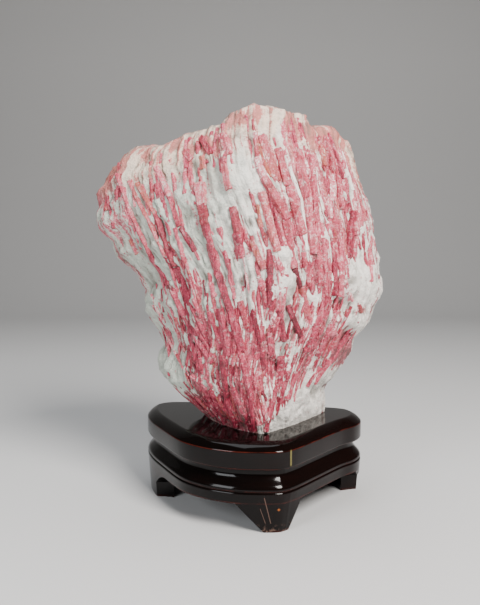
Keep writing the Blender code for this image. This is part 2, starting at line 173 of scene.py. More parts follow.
# Swellings and hollows on the front, seen from the front: x, z, radius, height
LUMPS = [
    (-109, 256, 12, 3), (-107, 231, 14, 4), (-60, 112, 15, 4), (-48, 96, 10, 3),
    (34, 189, 9, 5), (33, 208, 9, 3), (92, 197, 13, 4), (98, 179, 13, 5), (93, 152, 10, 6),
    (2, 268, 16, 4), (40, 84, 16, 3), (-60, 286, 14, 4), (20, 310, 16, 4), (-20, 300, 12, 3),
    (78, 168, 7, -7), (67, 92, 9, -6), (66, 259, 6, -5), (-38, 240, 8, -4), (24, 121, 7, -4),
    (82, 147, 7, -4), (-68, 190, 9, -3),
]

# How pink the front is beside its main crystals: x, z, radius, amount added
BLUSH = [
    (8, 122, 38, 0.38), (60, 205, 34, 0.28), (78, 133, 15, 0.40), (46, 255, 34, 0.26),
    (66, 150, 22, 0.2), (2, 258, 19, -0.85), (-3, 232, 12, -0.5), (34, 188, 9, -0.9),
    (33, 208, 8, -0.6), (92, 192, 15, -0.8), (98, 176, 10, -0.5), (93, 152, 9, -0.6),
    (50, 82, 19, -1.3), (34, 78, 8, -0.7), (73, 108, 8, -0.8), (-56, 113, 15, -0.8),
    (-75, 160, 11, -0.4), (-66, 190, 12, -0.35), (-92, 232, 10, 0.1), (-10, 290, 7, 0.5),
    (-25, 291, 7, 0.75), (-40, 284, 6, 0.4), (9, 266, 5, 0.3), (-47, 134, 6, 0.4),
    (67, 124, 5, -0.6), (57, 174, 4, -0.7), (30, 138, 5, -0.5), (39, 135, 4, -0.5),
    (-110, 254, 8, 0.25), (-70, 220, 14, -0.2), (-30, 212, 12, -0.25), (5, 198, 6, -0.4),
    (20, 300, 12, -0.2), (60, 300, 14, 0.2), (0, 312, 14, 0.1), (-95, 282, 7, 0.45),
    (-72, 287, 8, 0.5), (-50, 295, 7, 0.45), (-4, 312, 8, 0.5), (15, 316, 8, 0.5),
    (36, 312, 8, 0.5), (50, 303, 8, 0.5), (72, 302, 8, 0.5), (28, 300, 8, 0.45),
    (-102, 268, 8, 0.35), (8, 292, 7, 0.3), (4, 80, 15, 0.5), (-56, 215, 36, -0.12),
    (-14, 84, 12, 0.4), (-30, 96, 12, 0.3),
]
# Calm white lobes, with less relief and less painted shade in their crevices: x, z, radius,
# strength
CALM = [
    (48, 84, 20, 1.0), (66, 80, 10, 0.8), (34, 189, 10, 1.0), (33, 208, 8, 0.7),
    (94, 192, 13, 0.8), (98, 176, 10, 0.8), (93, 152, 8, 0.7), (0, 262, 16, 0.6),
    (-57, 112, 14, 0.7),
]
# Dark grey-brown stains: x, z, radius, strength
STAINS = [
    (-33, 275, 6, 0.7), (-40, 238, 6, 0.8), (66, 93, 9, 0.7), (78, 169, 6, 1.0),
    (-27, 258, 4, 0.7), (66, 259, 4, 0.9), (24, 122, 5, 0.8), (83, 147, 5, 0.7), (63, 128, 3, 0.7),
    (67, 124, 5, 0.5), (-1, 134, 3, 0.9), (34, 174, 6, 0.8), (-68, 190, 7, 0.4), (83, 188, 4, 0.8),
    (-57, 258, 3, 0.5), (3, 84, 6, 0.6), (40, 184, 5, 0.6), (-20, 122, 5, 0.4), (12, 178, 4, 0.5),
    (-84, 206, 8, 0.35), (-60, 160, 7, 0.35), (-30, 226, 4, 0.5), (56, 208, 3, 0.5),
    (96, 262, 4, 0.4),
]

# Main crystals on the front, seen from the front: x and z of the upper end, x and z of the
# lower end, width, depth of colour (0 white, 0.5 pink, 1 darkest red), share of orange brown
CRYSTALS = [
    (-97, 271, -84, 236, 5, 0.50, 0.10), (-84, 236, -71, 207, 5.5, 0.55, 0.1),
    (-71, 207, -56, 183, 6.5, 0.66, 0), (-56, 184, -53, 179, 6, 0.92, 0),
    (-54, 180, -41, 153, 7, 0.6, 0), (-41, 153, -21, 124, 7, 0.65, 0),
    (-87, 265, -72, 236, 4.5, 0.5, 0.35), (-72, 236, -59, 207, 4.5, 0.5, 0.3),
    (-80, 263, -65, 239, 6.5, 0.6, 0.6), (-65, 238, -51, 199, 7.5, 0.72, 0.05),
    (-49, 198, -38, 170, 7, 0.72, 0), (-38, 169, -24, 138, 6, 0.7, 0),
    (-65, 275, -54, 253, 8, 0.36, 0.1), (-53, 252, -47, 230, 6.5, 0.64, 0.1),
    (-50, 228, -43, 204, 4.5, 0.55, 0), (-45, 228, -35, 211, 7, 0.76, 0),
    (-30, 261, -28, 246, 13, 0.36, 0.15), (-28, 246, -26, 231, 10.5, 0.74, 0.1),
    (-26, 231, -18, 197, 10, 0.64, 0), (-16, 228, -5, 186, 4.5, 0.5, 0),
    (-8, 193, -4, 176, 4, 0.5, 0), (-6, 243, -2, 224, 9, 0.76, 0.1),
    (-2, 224, 1, 207, 10, 0.62, 0), (-12, 276, -8, 257, 7.5, 0.45, 0.2),
    (-17, 195, -8, 168, 9, 0.74, 0), (-15, 167, -9, 132, 9, 0.64, 0),
    (-7, 168, 2, 136, 9.5, 0.7, 0), (-23, 187, -20, 177, 6, 0.5, 0),
    (-24, 165, -15, 141, 6, 0.6, 0), (-34, 152, -20, 129, 7, 0.6, 0),
    (-39, 143, -31, 118, 7.5, 0.76, 0), (-36, 174, -30, 160, 4, 0.55, 0),
    (-44, 206, -39, 194, 2.5, 0.6, 0.5), (-41, 197, -31, 172, 2.5, 0.6, 0.5),
    (-51, 158, -49, 139, 4, 0.5, 0.2), (-49, 139, -44, 131, 4, 0.5, 0.2),
    (0, 173, 5, 154, 9, 0.62, 0.1), (10, 165, 15, 141, 6.5, 0.76, 0),
    (15, 140, 17, 122, 6.5, 0.8, 0), (1, 214, 7, 180, 2.5, 0.35, 0),
    (-72, 175, -63, 155, 4, 0.3, 0),
    (-60, 141, -52, 127, 4, 0.3, 0), (-63, 148, -57, 135, 2.5, 0.6, 0.2),
    (-57, 135, -46, 118, 2.5, 0.6, 0.2), (-46, 118, -32, 90, 2.5, 0.6, 0.2),
    (-38, 112, -26, 103, 5, 0.55, 0), (-88, 219, -83, 208, 4.5, 0.5, 0.85),
    (-13, 131, -10, 94, 8, 0.76, 0), (-10, 94, -3, 72, 8, 0.7, 0), (-22, 103, -12, 72, 5, 0.6, 0),
    (-31, 109, -20, 81, 4, 0.55, 0), (1, 133, 4, 122, 8, 0.6, 0), (3, 121, 8, 102, 7, 0.66, 0),
    (8, 102, 11, 72, 6.5, 0.76, 0), (-6, 106, 3, 86, 6, 0.6, 0), (6, 84, 9, 73, 5, 0.95, 0),
    (17, 104, 20, 97, 5, 0.86, 0), (26, 126, 27, 120, 4, 0.9, 0),
    (-29, 282, -28, 273, 6, 0.5, 0.7), (-29, 297, -21, 284, 8, 0.58, 0.1),
    (-13, 298, -8, 283, 8, 0.38, 0.1), (-43, 287, -37, 280, 7, 0.5, 0.2),
    (17, 296, 28, 263, 9, 0.5, 0.35), (12, 294, 22, 266, 3, 0.55, 0.85),
    (29, 287, 36, 260, 9, 0.5, 0.15), (36, 258, 46, 224, 9, 0.52, 0.1),
    (12, 279, 18, 265, 8, 0.3, 0), (18, 264, 35, 235, 10, 0.58, 0.15),
    (33, 234, 40, 199, 8, 0.6, 0.1), (40, 198, 45, 184, 7, 0.96, 0),
    (13, 245, 15, 229, 5, 0.5, 0.85), (16, 254, 27, 212, 8.5, 0.5, 0.35),
    (22, 212, 22, 172, 7, 0.82, 0), (8, 219, 18, 198, 7, 0.5, 0.6),
    (14, 190, 21, 170, 7, 0.6, 0.1), (43, 286, 50, 251, 9, 0.5, 0.1),
    (50, 250, 55, 210, 10, 0.5, 0.1), (37, 273, 45, 251, 4, 0.04, 0),
    (45, 251, 48, 230, 5, 0.04, 0), (48, 230, 50, 212, 4.5, 0.04, 0),
    (54, 280, 57, 233, 7.5, 0.5, 0.05), (57, 232, 60, 187, 7.5, 0.52, 0.05),
    (58, 264, 61, 230, 2, 0.05, 0), (62, 291, 65, 276, 7, 0.5, 0.55),
    (66, 299, 75, 268, 8, 0.5, 0.1), (75, 268, 79, 243, 8, 0.5, 0.05),
    (73, 289, 80, 266, 5, 0.76, 0), (81, 289, 85, 268, 4, 0.04, 0), (85, 268, 88, 258, 4, 0.04, 0),
    (72, 269, 71, 249, 8, 0.26, 0), (67, 250, 68, 236, 7, 0.33, 0),
    (86, 270, 95, 230, 8, 0.36, 0.1), (88, 241, 83, 206, 9, 0.7, 0), (94, 232, 91, 223, 4, 0.5, 0),
    (104, 222, 104, 187, 8, 0.45, 0.05), (90, 219, 90, 206, 5, 0.5, 0),
    (46, 184, 52, 160, 7.5, 0.6, 0.35), (47, 210, 52, 185, 6.5, 0.56, 0.1),
    (44, 197, 49, 185, 2.5, 0.04, 0), (57, 205, 60, 187, 5, 0.5, 0),
    (62, 219, 65, 177, 7.5, 0.5, 0.05), (65, 176, 63, 161, 6.5, 0.62, 0),
    (70, 210, 73, 178, 8, 0.74, 0), (78, 219, 78, 176, 8, 0.5, 0.05),
    (80, 188, 87, 172, 6, 0.34, 0), (65, 174, 52, 134, 7, 0.62, 0), (74, 164, 60, 128, 6, 0.6, 0),
    (86, 164, 66, 122, 6, 0.62, 0.1), (88, 142, 60, 104, 7, 0.66, 0),
    (80, 172, 62, 134, 3.5, 0.56, 0), (69, 170, 55, 130, 3.5, 0.64, 0),
    (90, 150, 70, 116, 3.5, 0.66, 0), (60, 160, 46, 120, 4, 0.64, 0),
    (28, 167, 33, 144, 7, 0.78, 0), (36, 170, 46, 146, 6.5, 0.88, 0),
    (22, 150, 25, 124, 6.5, 0.66, 0), (31, 131, 31, 108, 8, 0.66, 0),
    (51, 136, 37, 96, 7, 0.62, 0), (42, 131, 28, 84, 6, 0.66, 0), (28, 108, 20, 72, 5.5, 0.66, 0),
    (38, 119, 28, 88, 5, 0.6, 0), (63, 118, 54, 102, 4, 0.6, 0), (94, 168, 96, 162, 5, 0.8, 0.3),
]

# Main crystals on the back: share across and share up of the upper end, the same of the lower
# end, width, depth of colour
BACK_CRYSTALS = [
    (0.08, 0.93, 0.16, 0.40, 9, 0.5), (0.17, 0.88, 0.25, 0.22, 10, 0.6),
    (0.27, 0.96, 0.33, 0.45, 8, 0.4), (0.36, 0.82, 0.40, 0.12, 11, 0.65),
    (0.45, 0.95, 0.46, 0.38, 9, 0.5), (0.53, 0.90, 0.52, 0.15, 12, 0.6),
    (0.62, 0.97, 0.58, 0.42, 8, 0.5), (0.70, 0.86, 0.63, 0.18, 10, 0.7),
    (0.78, 0.95, 0.71, 0.33, 9, 0.45), (0.88, 0.90, 0.78, 0.28, 9, 0.55),
    (0.22, 0.60, 0.30, 0.10, 7, 0.7), (0.68, 0.55, 0.60, 0.08, 8, 0.66),
]
# Share of the surface's slope up or down that a crystal's outward direction keeps
CRYSTAL_PITCH = 0.3
# Length of a crystal's bevelled end and its girth there, as shares of its width and girth
TIP_LENGTH, TIP_GIRTH = 0.10, 0.86
# Depth of a crystal's middle line under the surface as a share of its width, how many sides it
# has, and the spacing of the stations along it
MAIN_SINK, MAIN_SIDES, MAIN_STEP = 0.13, 11, 4.0
SMALL_SINK, SMALL_SIDES, SMALL_STEP = 0.24, 7, 7.0
# Fewest stations of a crystal, and the most that still keep it straight
LEAST_STATIONS, STRAIGHT_STATIONS = 4, 5
# Share of orange brown on the back's main crystals
BACK_WARM = 0.1
# Limits that the small crystals are drawn between: upper end and length as shares of the fan,
# width at the top of the fan, and depth of colour
SMALL_ACROSS, SMALL_UP, SMALL_LENGTH = (0.03, 0.97), (0.08, 0.99), (0.07, 0.24)
SMALL_WIDTH, SMALL_TONE = (2.0, 5.6), (0.34, 0.66)
# Their lean is drawn with this spread, and their share of orange brown with this mean and spread
SMALL_LEAN, SMALL_WARM = 0.006, (-0.1, 0.25)
# Share of the width that is left at the foot of the fan, and where the lower ends have to stay
SMALL_FOOT_WIDTH, SMALL_LOWEST, SMALL_INSIDE = 0.55, 0.035, (0.02, 0.98)
# How likely a small crystal is, against the pink where it lies
SMALL_CHANCE = 1.5
# Colour added to the small crystals towards the foot, and left of a line in the front view
DEEPER_FOOT, DEEPER_LEFT, LEFT_PART_END = 0.14, 0.06, 10
# Well clear of the stone, where the search for its surface starts
OUTSIDE = 200.0
# Pink beside the crystals where no spot adds to it or takes from it
PINK_START = 0.27

# Fixed tints of the finishes
# The stain tint is also the colour of the painted shade in the crevices
GREY_QUARTZ, STAIN_AND_SHADE_TINT = (0.36, 0.35, 0.32), (0.115, 0.10, 0.075)
WEATHERED_PINK = (0.66, 0.25, 0.19)
GLUE_TINT, SCRATCH_TINT = (0.24, 0.21, 0.07), (0.22, 0.13, 0.10)
SPOT_TINT, SCUFF_TINT = (0.35, 0.10, 0.02), (0.20, 0.12, 0.09)
# Worn red edges of the board and of the base: height, reach up and down, strength
BOARD_WEAR = [(63.6, 0.55, 0.45), (50.2, 0.8, 0.6)]
BASE_WEAR = [(33.2, 0.8, 0.25), (24.0, 1.0, 0.2), (0.0, 2.5, 0.2)]
# Scratches on the front foot: x and z of the two ends, reach to each side
SCRATCHES = [((18, 29), (23, 8), 0.5), ((15, 20), (19, 8), 0.35)]

# Stage, in millimetres: the floor's half width and its front, where its sweep starts, the radius
# and steps of the sweep, and the top of the wall behind it
FLOOR_HALF, FLOOR_FRONT, SWEEP_START = 3200.0, -2600.0, 1300.0
SWEEP_RADIUS, SWEEP_STEPS, WALL_TOP = 900.0, 24, 3200.0
# Camera: place in metres, degrees that it looks down, focal length in millimetres
CAMERA_PLACE, CAMERA_TILT, CAMERA_LENS = (0.0, -0.578, 0.2231), 5.51, 41.65
# Soft lights: place and size in metres, tint, and the setting that their power comes from
LIGHTS = {
    "key_light": ((0.62, -0.95, 1.05), 0.55, (1.0, 0.96, 0.92), "key_power"),
    "left_light": ((-0.75, -0.85, 0.55), 0.5, (0.94, 0.97, 1.0), "fill_power"),
    "top_light": ((-0.1, 0.15, 1.35), 0.8, (0.94, 0.97, 1.0), "fill_power"),
}
LIGHTS_AIM = (0.0, 0.0, 0.16)
SURROUND_TINT = (1.0, 0.98, 0.95, 1.0)


def along(table, share):
    """Reads a table of (share, value) rows, with straight runs between its rows."""
    shares, values = zip(*table)
    return np.interp(share, shares, values)


def point_on(path, share):
    """The points at shares of a path's length."""
    points = np.array(path, float)
    steps = np.linalg.norm(np.diff(points, axis=0), axis=1)
    lengths = np.concatenate([[0.0], np.cumsum(steps)])
    target = np.asarray(share, float) * lengths[-1]
    return np.stack([np.interp(target, lengths, points[:, axis]) for axis in (0, 1)], axis=-1)


def elevation(across, up):
    """Front-view x and z of the stone at shares across the fan and shares up it."""
    left, right = point_on(LEFT_EDGE, up), point_on(RIGHT_EDGE, up)
    foot, top = point_on([LEFT_EDGE[0], RIGHT_EDGE[0]], across), point_on(TOP_EDGE, across)
    a, u = np.asarray(across, float)[..., None], np.asarray(up, float)[..., None]
    corners = (
        (1 - a) * (1 - u) * np.array(LEFT_EDGE[0]) + a * (1 - u) * np.array(RIGHT_EDGE[0])
        + (1 - a) * u * np.array(LEFT_EDGE[-1]) + a * u * np.array(RIGHT_EDGE[-1])
    )
    return (1 - a) * left + a * right + (1 - u) * foot + u * top - corners


def flank(side, offset, up):
    """How much of the full depth is left at an offset of 0 (middle) to 1 (edge)."""
    ease = np.minimum(1.0, up / FLANK_EASE)
    rise, fall = (a + (b - a) * ease for a, b in zip(FLANK_FOOT[side], FLANK_FAN[side]))
    return np.maximum(0.0, 1.0 - np.minimum(1.0, offset) ** rise) ** (1.0 / fall)


def depth(across, up, face):
    """The y of the stone's front or back surface."""
    edge = (1 - across) * along(LEFT_Y, up) + across * along(RIGHT_Y, up)
    if face == "back":
        return edge + (along(BACK_Y, up) - edge) * flank("back", abs(across - 0.5) * 2, up)
    ridge = along(RIDGE_ACROSS, up)
    left = flank("left", np.clip((ridge - across) / ridge, 0, 1), up)
    right = flank("right", np.clip((across - ridge) / (1 - ridge), 0, 1), up)
    return edge + (along(RIDGE_Y, up) - edge) * np.where(across < ridge, left, right)


def spots(table, x, z):
    """The sum of round soft spots at points of the front view."""
    total = np.zeros_like(x)
    for spot_x, spot_z, radius, amount in table:
        total += amount * np.exp(-((x - spot_x) ** 2 + (z - spot_z) ** 2) / radius ** 2)
    return total


def rough(points, waves):
    """Sum of noises of several wavelengths at each point."""
    return np.array([
        sum(size * noise.noise(Vector(point / wave)) for wave, size in waves) for point in points
    ])


def stone_sheet(settings):
    """Points of the stone's skin ring by ring, with their fan coordinates, blush, and stains
    joined by painted crevice shade.
    """
    columns, rows = settings.columns, settings.rows
    shares = np.arange(columns + 1) / columns
    across = np.concatenate([shares, shares[-2:0:-1]])
    front = np.arange(2 * columns) <= columns
    turn = np.where(front, across / 2, 1 - across / 2) * math.tau
    across, up = np.meshgrid(across, np.arange(rows + 1) / rows)
    x, z = np.moveaxis(elevation(across, up), -1, 0)
    y = np.where(front, depth(across, up, "front"), depth(across, up, "back"))
    points = np.stack([x, y, z], axis=-1).reshape(-1, 3)
    fan = np.stack([
        np.broadcast_to(np.cos(turn), x.shape), np.broadcast_to(np.sin(turn), x.shape), up,
    ], axis=-1).reshape(-1, 3)
    front = np.broadcast_to(front, x.shape).ravel()
    axis = np.stack([
        np.full(len(points), STONE_AXIS[0]), np.full(len(points), STONE_AXIS[1]), points[:, 2],
    ], axis=-1)
    outward = points - axis
    outward /= np.linalg.norm(outward, axis=1)[:, None] + 1e-6
    ribs = rough(fan * (PLATE_TURNS, PLATE_TURNS, PLATE_CLIMB), PLATE_WAVES)
    crevice = 1.0 - np.minimum(1.0, abs(ribs) * CREVICE_SHARPNESS)
    plates = rough(fan * (STEP_TURNS, STEP_TURNS, STEP_CLIMB), STEP_WAVES)
    plates = np.round(plates * STEP_LEVELS) / STEP_LEVELS
    ribs = (plates * STEP_HEIGHT - crevice) * settings.rib_height / MM
    calm = np.where(front, np.minimum(spots(CALM, points[:, 0], points[:, 2]), 1.0), 0.0)
    ribs *= 1.0 - CALM_LOSES * calm
    fine = rough(points, FINE) * settings.grain_height / MM
    lumps = np.where(front, spots(LUMPS, points[:, 0], points[:, 2]), 0.0)
    settle = np.clip((points[:, 2] - BOARD_TOP) / ROUGHNESS_RUN, 0.0, 1.0)
    near = np.clip((points[:, 2] - BOARD_TOP) / FINE_RUN, FINE_LEAST, 1.0)
    shift = (rough(points, COARSE) + lumps) * settle + (ribs + fine) * near
    blush = PINK_START + spots(BLUSH, points[:, 0], points[:, 2]) * front
    blush += SIDE_BLUSH * np.exp(-(fan[:, 1] / SIDE_REACH) ** 2)
    stains = np.where(front, spots(STAINS, points[:, 0], points[:, 2]), 0.0)
    # Painted shade: crevices are darkened in colour, less where the grain stands up and on calm
    # lobes
    painted_crevice_shade = np.clip(crevice * CREVICE_SHADE - fine * SHADE_LOST_TO_GRAIN, 0.0, SHADE_MOST)
    painted_crevice_shade *= 1.0 - calm
    points = points + outward * shift[:, None]
    return points, fan, blush, np.clip(np.maximum(stains, painted_crevice_shade), 0, 1)


def broken_ledge(points, near, far):
    """Rows of point numbers from the near edge to the far one, and the new points between them.

    A new point is its place, the near and far points that it lies between, and its share.
    """
    lines, extra = [near], []
    for row in range(1, LEDGE_ROWS):
        share = row / LEDGE_ROWS
        line = [near[0]]
        for a, b in zip(near[1:-1], far[1:-1]):
            place = points[a] + (points[b] - points[a]) * share
            place[2] += LEDGE_DOME * math.sin(math.pi * share)
            place[2] += LEDGE_ROUGHNESS * noise.noise(Vector(place / LEDGE_WAVE))
            place[2] += sum(size * noise.noise(Vector(place / wave)) for wave, size in FINE)
            line.append(len(points) + len(extra))
            extra.append((place, a, b, share))
        lines.append(line + [near[-1]])
    return lines + [far], extra


def quad_rings(count, rings):
    """Faces between neighbouring closed rings of count points each."""
    here = np.arange(count)
    there = (here + 1) % count
    faces = [
        np.stack([here, there, there + count, here + count], axis=1) + ring * count
        for ring in range(rings - 1)
    ]
    return np.concatenate(faces).tolist()


def add_piece(name, points, faces, material, attributes=None):
    """A mesh object at the origin from points in millimetres."""
    mesh = bpy.data.meshes.new(name)
    mesh.from_pydata((np.asarray(points) * MM).tolist(), [], faces)
    mesh.polygons.foreach_set("use_smooth", [True] * len(mesh.polygons))
    for key, values in (attributes or {}).items():
        values = np.asarray(values, float)
        kind, field = ("FLOAT_VECTOR", "vector") if values.ndim == 2 else ("FLOAT", "value")
        layer = mesh.attributes.new(key, kind, "POINT")
        layer.data.foreach_set(field, values.ravel())
    mesh.materials.append(material)
    mesh.update()
    piece = bpy.data.objects.new(name, mesh)
    bpy.context.scene.collection.objects.link(piece)
    return piece


def face_out(piece):
    """Turns a closed mesh's faces outwards."""
    shape = bmesh.new()
    shape.from_mesh(piece.data)
    bmesh.ops.recalc_face_normals(shape, faces=shape.faces)
    shape.to_mesh(piece.data)
    shape.free()


class Wire:
    """A node's output, with arithmetic written as Python expressions."""

    def __init__(self, maker, socket):
        self.maker, self.socket = maker, socket

    def worked(self, operation, *values):
        return self.maker.node("ShaderNodeMath", {"operation": operation}, dict(enumerate(values)))

    def __add__(self, other):
        return self.worked("ADD", self, other)

    __radd__ = __add__

    def __sub__(self, other):
        return self.worked("SUBTRACT", self, other)

    def __rsub__(self, other):
        return self.worked("SUBTRACT", other, self)

    def __mul__(self, other):
        return self.worked("MULTIPLY", self, other)

    __rmul__ = __mul__

    def __abs__(self):
        return self.worked("ABSOLUTE", self)


class NodeMaker:
    """Adds nodes to one tree."""

    def __init__(self, tree):
        self.tree = tree

    def node(self, kind, settings=None, inputs=None, output=0):
        """One node: its settings first, then the values or links of its sockets."""
        made = self.tree.nodes.new(kind)
        for key, value in (settings or {}).items():
            if key == "stops":
                ramp = made.color_ramp.elements
                while len(ramp) < len(value):
                    ramp.new(0.5)
                for stop, (place, colour) in zip(ramp, value):
                    stop.position, stop.color = place, (*colour, 1.0)
            else:
                setattr(made, key, value)
        for key, value in (inputs or {}).items():
            if isinstance(value, Wire):
                self.tree.links.new(value.socket, made.inputs[key])
            else:
                made.inputs[key].default_value = value
        return Wire(self, made.outputs[output]) if made.outputs else made


class Finish(NodeMaker):
    """One material and the patterns that vary over it."""

    def __init__(self, name, roughness, coat=0.0, coat_roughness=0.03):
        self.material = bpy.data.materials.new(name)
        self.material.use_nodes = True
        super().__init__(self.material.node_tree)
        self.shader = self.tree.nodes["Principled BSDF"]
        for key, value in (
            ("Roughness", roughness), ("Coat Weight", coat), ("Coat Roughness", coat_roughness),
        ):
            self.shader.inputs[key].default_value = value
        self.place = self.node("ShaderNodeTexCoord", output="Object")

    def feed(self, key, wire):
        self.tree.links.new(wire.socket, self.shader.inputs[key])

    def attribute(self, name, output="Fac"):
        return self.node("ShaderNodeAttribute", {"attribute_name": name}, output=output)

    def axis(self, letter, vector=None):
        return self.node("ShaderNodeSeparateXYZ", None, {0: vector or self.place}, output=letter)

    def noise(self, scale, detail=2.0, vector=None, roughness=0.5):
        return self.node("ShaderNodeTexNoise", None, {
            "Vector": vector or self.place, "Scale": scale, "Detail": detail,
            "Roughness": roughness,
        })

    def stretched(self, vector, scale):
        return self.node("ShaderNodeMapping", None, {"Vector": vector, "Scale": scale})

    def step(self, value, low, high):
        """0 below low, 1 above high. A low above the high turns it round."""
        inputs = {"Value": value, "From Min": low, "From Max": high}
        return self.node("ShaderNodeMapRange", {"interpolation_type": "SMOOTHSTEP"}, inputs)

    def mix(self, share, first, second):
        first, second = (
            side if isinstance(side, Wire) else (*side, 1.0) for side in (first, second)
        )
        inputs = {0: share, 6: first, 7: second}
        return self.node("ShaderNodeMix", {"data_type": "RGBA"}, inputs, output=2)

    def ramp(self, value, stops):
        return self.node("ShaderNodeValToRGB", {"stops": stops}, {0: value})

    def bump(self, height, strength, distance):
        inputs = {"Height": height, "Strength": strength, "Distance": distance}
        self.feed("Normal", self.node("ShaderNodeBump", None, inputs))


def quartz_finish(settings):
    """White quartz, painted cooler and darker on the left plane as shade and brighter on the right
    as light, with pink streaks along the fan and dark specks.
    """
    f = Finish("Quartz with tourmaline streaks", 0.42)
    fan = f.attribute("fan", "Vector")
    blush, stain = f.attribute("blush"), f.attribute("stain")
    streak = f.noise(19.0, 4.0, f.stretched(fan, (1.0, 1.0, 0.10)), 0.62)
    broken = f.noise(150.0, 3.0, None, 0.6)
    fine = f.noise(620.0, 3.0, None, 0.65)
    patch = f.noise(46.0, 3.0, None, 0.6)
    height = f.axis("Z", fan)
    level = blush + (streak - 0.5) * 2.2 + (broken - 0.5) * 0.55 + (patch - 0.5) * 0.7
    pink = f.step(level + (fine - 0.5) * 0.5, 0.38, 0.56)
    # Painted light and shade: shaded quartz on the left plane, lit quartz on the right plane
    side = f.step(f.axis("X") + (patch - 0.5) * 0.03, 0.022, -0.03)
    white = f.mix(side, settings.lit_white, settings.shaded_white)
    cream = f.step(height + (patch - 0.5) * 0.3, 0.80, 0.95)
    white = f.mix(cream * 0.85, white, settings.cream)
    grey = f.step(fine * 0.6 + broken * 0.8, 0.66, 0.86)
    white = f.mix(grey * 0.45, white, GREY_QUARTZ)
    depth_of_pink = level * 0.5 + (fine - 0.5) * 1.1 + (1.0 - height) * 0.3 + (broken - 0.5) * 0.8
    depth_of_pink = depth_of_pink + cream * 0.16
    red = f.ramp(depth_of_pink, [
        (0.20, settings.pale_pink), (0.42, settings.pink), (0.62, settings.deep_red),
        (0.86, settings.dark_red),
    ])
    red = f.mix(cream * 0.6, red, WEATHERED_PINK)
    colour = f.mix(pink * 0.94, white, red)
    specks = f.step(f.noise(330.0, 2.0, None, 0.7) + (patch - 0.5) * 0.25, 0.63, 0.70)
    colour = f.mix(specks * (1.0 - pink) * 0.45, colour, settings.pink)
    # Real stains and painted shade in the crevices both darken the quartz towards the stain tint
    colour = f.mix(stain * f.step(broken, 0.15, 0.5) * 0.88, colour, STAIN_AND_SHADE_TINT)
    f.feed("Base Color", colour)
    f.feed("Roughness", 0.34 + fine * 0.3)
    f.bump(fine * 0.7 + broken * 1.2 + streak * 0.9, 0.95, 0.0018)
    return f.material


def tourmaline_finish(settings):
    """Pink tourmaline: each crystal has its own depth of colour, striped along its length."""
    f = Finish("Pink tourmaline", 0.30, 0.12, 0.15)
    tone, warm = f.attribute("tone"), f.attribute("warm")
    lengthwise = f.noise(520.0, 2.0, f.stretched(f.place, (1.0, 1.0, 0.13)), 0.6)
    blotch = f.noise(120.0, 3.0, None, 0.6)
    fine = f.noise(800.0, 2.0, None, 0.7)
    level = tone + (lengthwise - 0.5) * 0.7 + (blotch - 0.5) * 0.6 + (fine - 0.5) * 0.9
    # Painted light and shade: the white of pale crystals is shaded on the left plane and lit on
    # the right
    white = f.mix(f.step(f.axis("X"), 0.02, -0.03), settings.lit_white, settings.shaded_white)
    red = f.ramp(level, [
        (0.22, settings.pale_pink), (0.48, settings.pink), (0.74, settings.deep_red),
        (0.98, settings.dark_red),
    ])
    colour = f.mix(f.step(level, 0.14, 0.26), white, red)
    colour = f.mix(warm * f.step(blotch, 0.3, 0.62) * 0.8, colour, settings.rust)
    dust = f.step(f.noise(330.0, 4.0, None, 0.75), 0.53, 0.64) * f.step(tone, 0.95, 0.35)
    colour = f.mix(dust * 0.5, colour, white)
    f.feed("Base Color", colour)
    f.feed("Roughness", 0.26 + fine * 0.34)
    f.bump(lengthwise * 1.1 + fine * 0.7 + blotch * 0.8, 0.9, 0.0014)
    return f.material


def lacquer_finish(name, settings, roughness, edges):
    """Dark lacquer over red wood: redder to the right, worn red along the given heights."""
    f = Finish(name, roughness, 0.10, 0.03)
    f.shader.inputs["Specular IOR Level"].default_value = 0.14
    x, y, z = (f.axis(letter) for letter in "XYZ")
    grain = f.noise(60.0, 4.0, f.stretched(f.place, (0.35, 0.35, 3.0)), 0.6)
    cloud = f.noise(14.0, 2.0)
    share = f.step(x + (cloud - 0.5) * 0.1, 0.0, 0.09) * 0.55 + f.step(grain, 0.45, 0.75) * 0.3
    colour = f.mix(share, settings.lacquer, settings.lacquer_red)
    wear = f.step(f.noise(90.0, 3.0), 0.32, 0.62)
    for height, width, strength in edges:
        line = f.step(abs(z - height * MM), width * MM, 0.0)
        colour = f.mix(line * wear * strength, colour, settings.worn_edge)
    return f, colour, (x, y, z)


def segment_mask(f, x, z, start, end, width):
    """1 on a thin line in the front view, from start to end in millimetres."""
    (x0, z0), (x1, z1) = start, end
    length = math.hypot(x1 - x0, z1 - z0)
    run_x, run_z = (x1 - x0) / length, (z1 - z0) / length
    reach = (x - x0 * MM) * run_x + (z - z0 * MM) * run_z
    apart = abs((x - x0 * MM) * run_z - (z - z0 * MM) * run_x)
    inside = f.step(reach, -0.5 * MM, 0.5 * MM) * f.step(reach, (length + 0.5) * MM, length * MM)
    return f.step(apart, width * MM, 0.3 * width * MM) * inside


def top_lacquer(settings):
    """Polished lacquer of the board, with old glue showing at its sharp corner."""
    f, colour, (x, y, z) = lacquer_finish("Polished top lacquer", settings, 0.09, BOARD_WEAR)
    corner = f.step(abs(x - SHARP_CORNER[0] * MM), 1.0 * MM, 0.2 * MM)
    glue = corner * f.step(y, -0.067, -0.069) * f.step(z, 0.051, 0.053) * f.step(z, 0.0645, 0.063)
    f.feed("Base Color", f.mix(glue * 0.55, colour, GLUE_TINT))
    smudge = f.noise(38.0, 4.0, None, 0.6)
    f.feed("Roughness", 0.06 + f.step(smudge, 0.45, 0.75) * 0.09)
    return f.material


